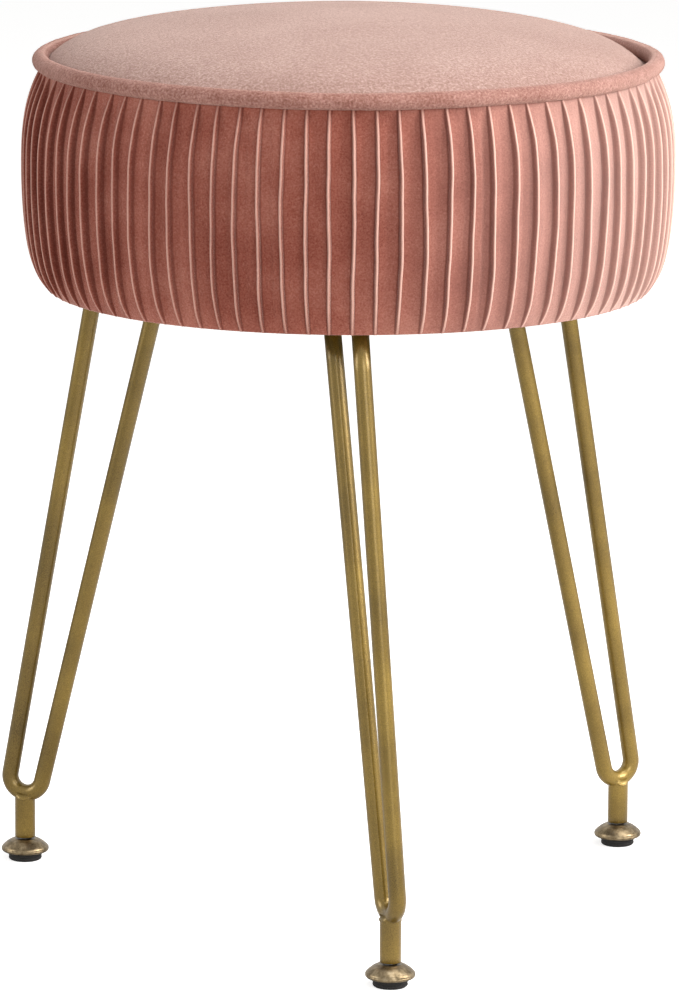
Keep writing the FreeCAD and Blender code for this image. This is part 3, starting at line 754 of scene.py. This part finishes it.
    def make_foam(self) -> None:
        """Foam drum inside the side, turned from the side's own outline."""
        low, high = node_box("foam_core")
        share = np.linspace((low[2] - self.underside) / (self.side_top - self.underside), 1, 24)
        radius = np.minimum(self.inner_radius(share), self.panel_radius - 2.4) - 0.3
        height = self.underside + share * (self.side_top - self.underside) - 0.8
        outline = np.concatenate([[[0.0, height[0]]], np.stack([radius, height], axis=-1),
                                  [[0.0, height[-1]]]])
        points, faces = turned(outline, 180, self.centre)
        foam = make_piece("foam_drum", points, faces, Slot.FOAM,
                          "stool", ["foam_core"], poles=True)

    def build(self) -> None:
        """Make every soft piece of the seat."""
        self.make_side()
        self.make_panel()
        self.make_piping()
        self.make_foam()


class Leg:
    """Hairpin leg with its stub, welds and levelling foot."""

    rod_radius: float = 4.75
    bend_radius: float = 9.8
    bend_height: float = 49.0
    bend_inset: float = 0.9
    rod_spacing: float = 39.0
    stem_radius: float = 5.8
    bore_radius: float = 4.1
    stud_radius: float = 3.95
    stud_low_radius: float = 3.2
    stud_top_radius: float = 3.0
    thread_pitch: float = 1.25
    thread_depth: float = 0.55
    dome_radius: float = 13.5
    socket_radius: float = 4.8
    pad_radius: float = 9.5
    spigot_radius: float = 4.5

    def __init__(self, name: str) -> None:
        """Find the foot's axis and the hairpin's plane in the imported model."""
        self.name = name
        self.foot = node_centre(f"foot_pad_{self.name}")[:2]
        away = self.foot - node_centre(f"leg_plate_{self.name}")[:2]
        self.plate_reach = float(np.linalg.norm(away))
        self.outward = away / self.plate_reach
        self.plate_bottom = node_box(f"leg_plate_{self.name}")[0, 2]

    def to_stool(self, local: np.ndarray) -> np.ndarray:
        """Move points from the leg's own frame, x outwards, to the stool's."""
        across = np.array([-self.outward[1], self.outward[0]])
        flat = local[..., :1] * self.outward + local[..., 1:2] * across + self.foot
        return np.concatenate([flat, local[..., 2:3]], axis=-1)

    def slope(self, side: int) -> float:
        """Slope of the outer rod, +1, or the inner, -1, from the upright, in radians."""
        across = -self.plate_reach + side * self.rod_spacing / 2 + self.bend_inset
        rise = self.plate_bottom - self.bend_height
        return math.atan2(-across, rise) + side * math.asin(
            self.bend_radius / math.hypot(across, rise))

    def rod_path(self) -> np.ndarray:
        """Middle line of the hairpin: up one side, round the bend, up the other."""
        middle = np.array([-self.bend_inset, self.bend_height])
        outer, inner = self.slope(1), self.slope(-1)
        turn = np.linspace(outer, inner - math.pi, 40)
        bend = middle + self.bend_radius * np.stack([np.cos(turn), np.sin(turn)], axis=-1)
        lift = np.linspace(0, 1, 14)[:, None]
        ends = []
        for place, slope in ((bend[0], outer), (bend[-1], inner)):
            rise = self.plate_bottom - place[1]
            ends.append(place + lift * np.array([-rise * math.tan(slope), rise]))
        flat = np.concatenate([ends[0][:0:-1], bend, ends[1][1:]])
        return np.stack([flat[:, 0], np.zeros(len(flat)), flat[:, 1]], axis=-1)

    def make_rod(self) -> None:
        """Round rod: circles square to the path, with both ends closed."""
        path = self.rod_path()
        along = np.gradient(path, axis=0)
        along /= np.linalg.norm(along, axis=1, keepdims=True)
        side = np.array([0.0, 1.0, 0.0])
        normal = np.cross(along, side)
        turn = circle(36)[None, :, None]
        rings = path[:, None, :] + self.rod_radius * (
            np.cos(turn) * normal[:, None, :] + np.sin(turn) * side)
        middles = np.repeat(path[:, None, :], rings.shape[1], axis=1)
        rings = np.concatenate([middles[:1], rings, middles[-1:]])
        points, faces = closed_skin(self.to_stool(rings))
        make_piece(f"hairpin_{self.name}", points, faces, Slot.GOLD,
                   "stool", [f"hairpin_rod_{self.name}"], poles=True)

    def bead(self, name: str, centre: np.ndarray, radius: float, thick: float, seed: int,
             saddle: float = 0.0) -> None:
        """Weld bead: a ring whose thickness ripples, bent down at two sides by saddle."""
        rng = np.random.default_rng(SEED + seed)
        angle = circle(120)[None, :]
        turn = circle(12)[:, None]
        size = thick * (1 + 0.22 * waves(angle, (9, 13, 17), rng))
        ring = radius + size * np.cos(turn)
        local = np.stack([centre[0] + ring * np.cos(angle), centre[1] + ring * np.sin(angle),
                          centre[2] + saddle * np.cos(2 * angle) + size * np.sin(turn)], axis=-1)
        points, faces = closed_skin(self.to_stool(local))
        make_piece(name, points, faces, Slot.GOLD, "stool")

    def make_welds(self) -> None:
        """Beads where the rods meet the plate and where the stub meets the bend."""
        for number, side in enumerate((1, -1)):
            across = -self.plate_reach + side * self.rod_spacing / 2
            self.bead(f"plate_weld_{self.name}_{number}",
                      np.array([across, 0.0, self.plate_bottom - 0.7]),
                      self.rod_radius + 0.4, 1.3, 10 + number)
        top = self.bend_height - self.bend_radius - 1.6
        self.bead(f"stub_weld_{self.name}", np.array([-0.2, 0.0, top]),
                  self.stem_radius - 0.6, 0.9, 20, saddle=1.6)

    def make_stem(self) -> None:
        """Stub: tube whose upper edge follows the bend, bored from below for the stud."""
        low = node_box(f"leg_stem_{self.name}")[0, 2]
        columns = 48
        angle = circle(columns)
        reach = self.stem_radius * np.cos(angle) + self.bend_inset
        saddle = self.bend_height - np.sqrt(self.bend_radius ** 2 - reach ** 2)
        bore_end = node_box(f"foot_stud_{self.name}")[1, 2] + 1.0
        levels = np.linspace(0, 1, 8)[:, None]
        wall = low + 0.5 + levels * (saddle[None, :] - low - 0.5)
        inside = np.array([0.0, self.bore_radius, self.bore_radius, self.stem_radius - 0.5])
        heights = np.array([bore_end, bore_end, low, low])
        radius = np.concatenate([inside, np.full(8, self.stem_radius), [0.0]])
        height = np.concatenate([np.repeat(heights[:, None], columns, axis=1), wall,
                                 np.full((1, columns), bore_end + 0.8)])
        local = np.stack([radius[:, None] * np.cos(angle), radius[:, None] * np.sin(angle),
                          height], axis=-1)
        points, faces = closed_skin(self.to_stool(local))
        make_piece(f"stub_{self.name}", points, faces, Slot.GOLD,
                   "stool", [f"leg_stem_{self.name}"], poles=True)

    def make_dome(self) -> None:
        """Foot dome: a turned mushroom with a rolled edge, a neck and a socket below."""
        low, high = node_box(f"foot_dome_{self.name}")[:, 2]
        full = self.dome_radius
        outline = polished([
            (self.stud_radius - 0.2, low + 2.0, 0), (self.socket_radius, low + 2.0, 0.2),
            (self.socket_radius, low, 0.2), (full - 2.2, low, 0.8), (full, low + 1.0, 1.2),
            (full + 0.1, low + 3.2, 1.4), (full - 3.4, low + 6.4, 3.5), (7.0, high - 0.1, 2.0),
            (6.6, high, 0.2), (self.stud_radius - 0.2, high, 0)], steps=7)
        points, faces = turned(outline, 72, self.foot)
        make_piece(f"foot_dome_cap_{self.name}", points, faces, Slot.NICKEL,
                   f"foot_{self.name}", [f"foot_dome_{self.name}"])

    def make_stud(self) -> None:
        """Threaded stud: a helix of ridges, its radius a triangle wave of height and turn."""
        low, high = node_box(f"foot_stud_{self.name}")[:, 2]
        columns = 32
        angle = circle(columns)[None, :]
        height = np.arange(low + 0.3, high - 0.3, self.thread_pitch / 6)[:, None] + 0 * angle
        phase = (height / self.thread_pitch - angle / (2 * math.pi)) % 1.0
        groove = np.abs(2 * phase - 1)
        radius = self.stud_radius - self.thread_depth * groove
        ends = np.zeros((1, columns))
        radius = np.concatenate([ends, ends + self.stud_low_radius, radius,
                                 ends + self.stud_top_radius, ends])
        height = np.concatenate([ends + low, ends + low, height, ends + high, ends + high])
        points, faces = closed_skin(ring_points(self.foot, radius, angle, height))
        make_piece(f"threaded_stud_{self.name}", points, faces, Slot.ZINC,
                   f"foot_{self.name}", [f"foot_stud_{self.name}"], poles=True)

    def make_pad(self) -> None:
        """Rubber pad: a moulded disc with a step round its lower edge and a spigot."""
        full, top = self.pad_radius, 4.2
        outline = polished([
            (0.0, 0.0, 0), (full - 1.0, 0.0, 0.6), (full, 0.9, 0.5), (full, 1.8, 0.2),
            (full - 0.35, 2.1, 0.2), (full - 0.35, 2.4, 0.2), (full, 2.7, 0.2),
            (full, top, 0.4), (self.spigot_radius, top, 0.1),
            (self.spigot_radius, top + 1.5, 0.3), (0.0, top + 1.5, 0)], steps=4)
        points, faces = turned(outline, 64, self.foot)
        make_piece(f"rubber_pad_{self.name}", points, faces, Slot.RUBBER,
                   f"pad_{self.name}", [f"foot_pad_{self.name}"], poles=True)

    def build(self) -> None:
        """Make every piece of the leg."""
        self.make_rod()
        self.make_welds()
        self.make_stem()
        self.make_dome()
        self.make_stud()
        self.make_pad()


@dataclass
class Underside:
    """Black lining under the board, and the bolts that hold the legs."""

    seat: Seat
    thickness: float = 0.8
    sag: float = 0.9
    plate_reach: float = 34.0
    pucker: float = 0.35
    bolt_along: float = 8.0
    bolt_across: float = 15.0
    shank_radius: float = 3.0
    head_radius: float = 5.5
    head_height: float = 3.6
    recess_depth: float = 1.9

    def make_lining(self) -> None:
        """Lining stretched under the board.

        It sags a little between the three plates, where it is pressed up, and
        puckers towards its stapled rim by sines round it.
        """
        rng = np.random.default_rng(SEED + 7)
        low, high = node_box("dust_cover")
        columns, full = 240, (high - low)[0] / 2
        angle = circle(columns)[None, :]
        share = np.linspace(0, 1, 46)[:, None]
        flat = np.stack([self.seat.centre[0] + full * share * np.cos(angle),
                         self.seat.centre[1] + full * share * np.sin(angle)], axis=-1)
        free = np.clip(1 - share ** 4, 0, 1)
        for name in LEGS:
            away = np.linalg.norm(flat - node_centre(f"leg_plate_{name}")[:2], axis=-1)
            free = free * np.clip((away - self.plate_reach) / 30.0, 0, 1)
        rim = np.clip((share - 0.72) / 0.22, 0, 1) * np.clip((1 - share) / 0.06, 0, 1)
        sag = self.sag * free + self.pucker * rim * (1 + waves(angle, (18, 36, 47), rng)) * free
        under = np.concatenate([flat, (low[2] - sag)[..., None]], axis=-1)
        over = under[::-1] + np.array([0.0, 0.0, self.thickness])
        points, faces = closed_skin(np.concatenate([under, over]))
        lining = make_piece("black_lining", points, faces, Slot.LINING,
                            "stool", ["dust_cover"], poles=True)

    def bolt(self, place: np.ndarray, head_low: float, top: float) -> np.ndarray:
        """Rings of one pan-head bolt, head down.

        The recess is a cross: its radius swells with the fourth power of the
        cosine of twice the angle.
        """
        angle = circle(32)
        cross = 1.1 + 1.5 * np.abs(np.cos(2 * angle)) ** 4
        full = np.ones_like(angle)
        pole = np.zeros_like(angle)
        rings = [(pole, head_low + self.recess_depth),
                 (0.45 * cross, head_low + self.recess_depth),
                 (cross, head_low + 0.15), (1.08 * cross + 0.1, head_low),
                 (3.6 * full, head_low + 0.12), (4.8 * full, head_low + 0.7),
                 (self.head_radius * full, head_low + 1.9),
                 (self.head_radius * full, head_low + self.head_height - 0.1),
                 (self.shank_radius * full, head_low + self.head_height),
                 (self.shank_radius * full, top), (pole, top)]
        return np.stack([np.stack([place[0] + radius * np.cos(angle),
                                   place[1] + radius * np.sin(angle), full * height], axis=-1)
                         for radius, height in rings])

    def make_bolts(self, name: str) -> None:
        """Four bolts through a leg's plate, in one piece."""
        centre = node_centre(f"leg_plate_{name}")[:2]
        away = node_centre(f"foot_pad_{name}")[:2] - centre
        along = away / np.linalg.norm(away)
        across = np.array([-along[1], along[0]])
        low, high = node_box(f"leg_bolts_{name}")[:, 2]
        spots = [centre + i * self.bolt_along * along + j * self.bolt_across * across
                 for i in (-1, 1) for j in (-1, 1)]
        points, faces = [], []
        for spot in spots:
            single, corners = closed_skin(self.bolt(spot, low, high))
            faces.append(corners + sum(len(done) for done in points))
            points.append(single)
        make_piece(f"pan_head_bolts_{name}", np.concatenate(points), np.concatenate(faces),
                   Slot.ZINC, "stool", [f"leg_bolts_{name}"], poles=True)

    def build(self) -> None:
        """Make the lining and the bolts of every leg."""
        self.make_lining()
        for name in LEGS:
            self.make_bolts(name)


def dress_nodes() -> None:
    """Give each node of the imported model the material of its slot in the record."""
    slots = {part["node"]: part["material_slot"] for part in frame["record"]["subparts"]}
    for node, piece in frame["nodes"].items():
        piece.data.materials.clear()
        piece.data.materials.append(material_of(FINISHES[Slot(slots[node])]))


@dataclass(frozen=True)
class Lamp:
    """Soft square lamp: its place and side in metres and its power in watts."""

    name: str
    place: tuple[float, float, float]
    power: float
    side: float
    colour: str = "ffffff"


LAMPS = (Lamp("key", (1.49, -0.6, 1.15), 36.0, 1.0, "fffbf8"),
         Lamp("front", (0.58, -2.53, 1.2), 19.0, 1.2),
         Lamp("rim", (-2.0, -0.15, 0.9), 13.0, 1.0),
         Lamp("top", (0.5, -0.4, 2.3), 24.0, 1.4))


@dataclass
class Studio:
    """Pale floor, white surroundings, soft lights and the camera."""

    distance: float = 3.707
    height: float = 0.9512
    azimuth: float = 7.18
    pitch: float = 11.045
    roll: float = 0.3
    focal_pixels: float = 6778.0
    middle_column: float = 346.5
    frame_width: int = 679
    frame_height: int = 995
    sensor: float = 36.0
    floor_half: float = 25.0
    floor_glow: float = 0.70
    sky_light: float = 0.26
    aim_height: float = 0.35

    def make_camera(self, axis: np.ndarray) -> None:
        """Camera at the photograph's place, aimed past the seat's axis."""
        data = bpy.data.cameras.new("camera")
        data.sensor_width = self.sensor
        data.lens = self.focal_pixels * self.sensor / self.frame_height
        data.clip_end = 100.0
        camera = add_object("camera", data)
        yaw = math.atan((self.middle_column - self.frame_width / 2) / self.focal_pixels)
        a = math.radians(self.azimuth)
        camera.location = (axis[0] * MM - self.distance * math.sin(a),
                           axis[1] * MM - self.distance * math.cos(a), self.height)
        camera.matrix_world = (
            Matrix.Translation(camera.location)
            @ Matrix.Rotation(-a + yaw, 4, "Z")
            @ Matrix.Rotation(math.radians(90.0 - self.pitch), 4, "X")
            @ Matrix.Rotation(math.radians(self.roll), 4, "Z"))
        bpy.context.scene.camera = camera

    def make_lights(self) -> None:
        """Lamps that point at the seat: right, front and above, with a rim light at the left."""
        target = Vector((0.0, 0.0, self.aim_height))
        for lamp in LAMPS:
            data = bpy.data.lights.new(lamp.name, "AREA")
            data.energy = lamp.power
            data.size = lamp.side
            data.color = linear(lamp.colour)[:3]
            light = add_object(lamp.name, data)
            light.location = lamp.place
            light.rotation_euler = (target - light.location).to_track_quat("-Z", "Y").to_euler()

    def make_world(self) -> None:
        """White to the camera and to reflections, dimmer as a light."""
        world = bpy.data.worlds.new("studio")
        bpy.context.scene.world = world
        world.use_nodes = True
        tree = world.node_tree
        tree.nodes.clear()
        path = add_node(tree, "ShaderNodeLightPath")
        seen = add_node(tree, "ShaderNodeMath", {
            0: path.outputs["Is Camera Ray"], 1: path.outputs["Is Transmission Ray"]},
            operation="MAXIMUM")
        level = add_node(tree, "ShaderNodeMapRange", {
            "Value": seen.outputs[0], "To Min": self.sky_light, "To Max": 1.0})
        glossy = add_node(tree, "ShaderNodeMath", {
            0: level.outputs["Result"], 1: path.outputs["Is Glossy Ray"]}, operation="MAXIMUM")
        back = add_node(tree, "ShaderNodeBackground", {
            "Color": linear("ffffff"), "Strength": glossy.outputs[0]})
        add_node(tree, "ShaderNodeOutputWorld", {"Surface": back.outputs[0]})

    def make_floor(self) -> None:
        """Pale matt floor that glows a little to the camera and keeps the shadow."""
        half = self.floor_half
        corners = np.array([(-half, -half, 0), (half, -half, 0), (half, half, 0), (-half, half, 0)])
        mesh = bpy.data.meshes.new("floor")
        mesh.from_pydata(corners.tolist(), [], [(0, 1, 2, 3)])
        floor = add_object("floor", mesh)
        material = bpy.data.materials.new("pale_floor")
        material.use_nodes = True
        tree = material.node_tree
        tree.nodes.clear()
        path = add_node(tree, "ShaderNodeLightPath")
        matt = add_node(tree, "ShaderNodeBsdfDiffuse", {"Color": linear("f4f3f1")})
        glow = add_node(tree, "ShaderNodeEmission", {
            "Color": linear("ffffff"), "Strength": self.floor_glow})
        both = add_node(tree, "ShaderNodeAddShader", {0: matt.outputs[0], 1: glow.outputs[0]})
        mixed = add_node(tree, "ShaderNodeMixShader", {
            0: path.outputs["Is Camera Ray"], 1: matt.outputs[0], 2: both.outputs[0]})
        add_node(tree, "ShaderNodeOutputMaterial", {"Surface": mixed.outputs[0]})
        mesh.materials.append(material)

    def build(self, axis: np.ndarray) -> None:
        """Make the camera, lights, world and floor."""
        self.make_camera(axis)
        self.make_lights()
        self.make_world()
        self.make_floor()
        bpy.context.scene.view_settings.view_transform = "Standard"


def main() -> None:
    """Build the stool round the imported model, then the studio."""
    logging.basicConfig(level=logging.INFO)
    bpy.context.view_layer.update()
    dress_nodes()
    seat = Seat()
    seat.build()
    Underside(seat).build()
    for name in LEGS:
        Leg(name).build()
    Studio().build(seat.centre)


if __name__ == "__main__":
    main()
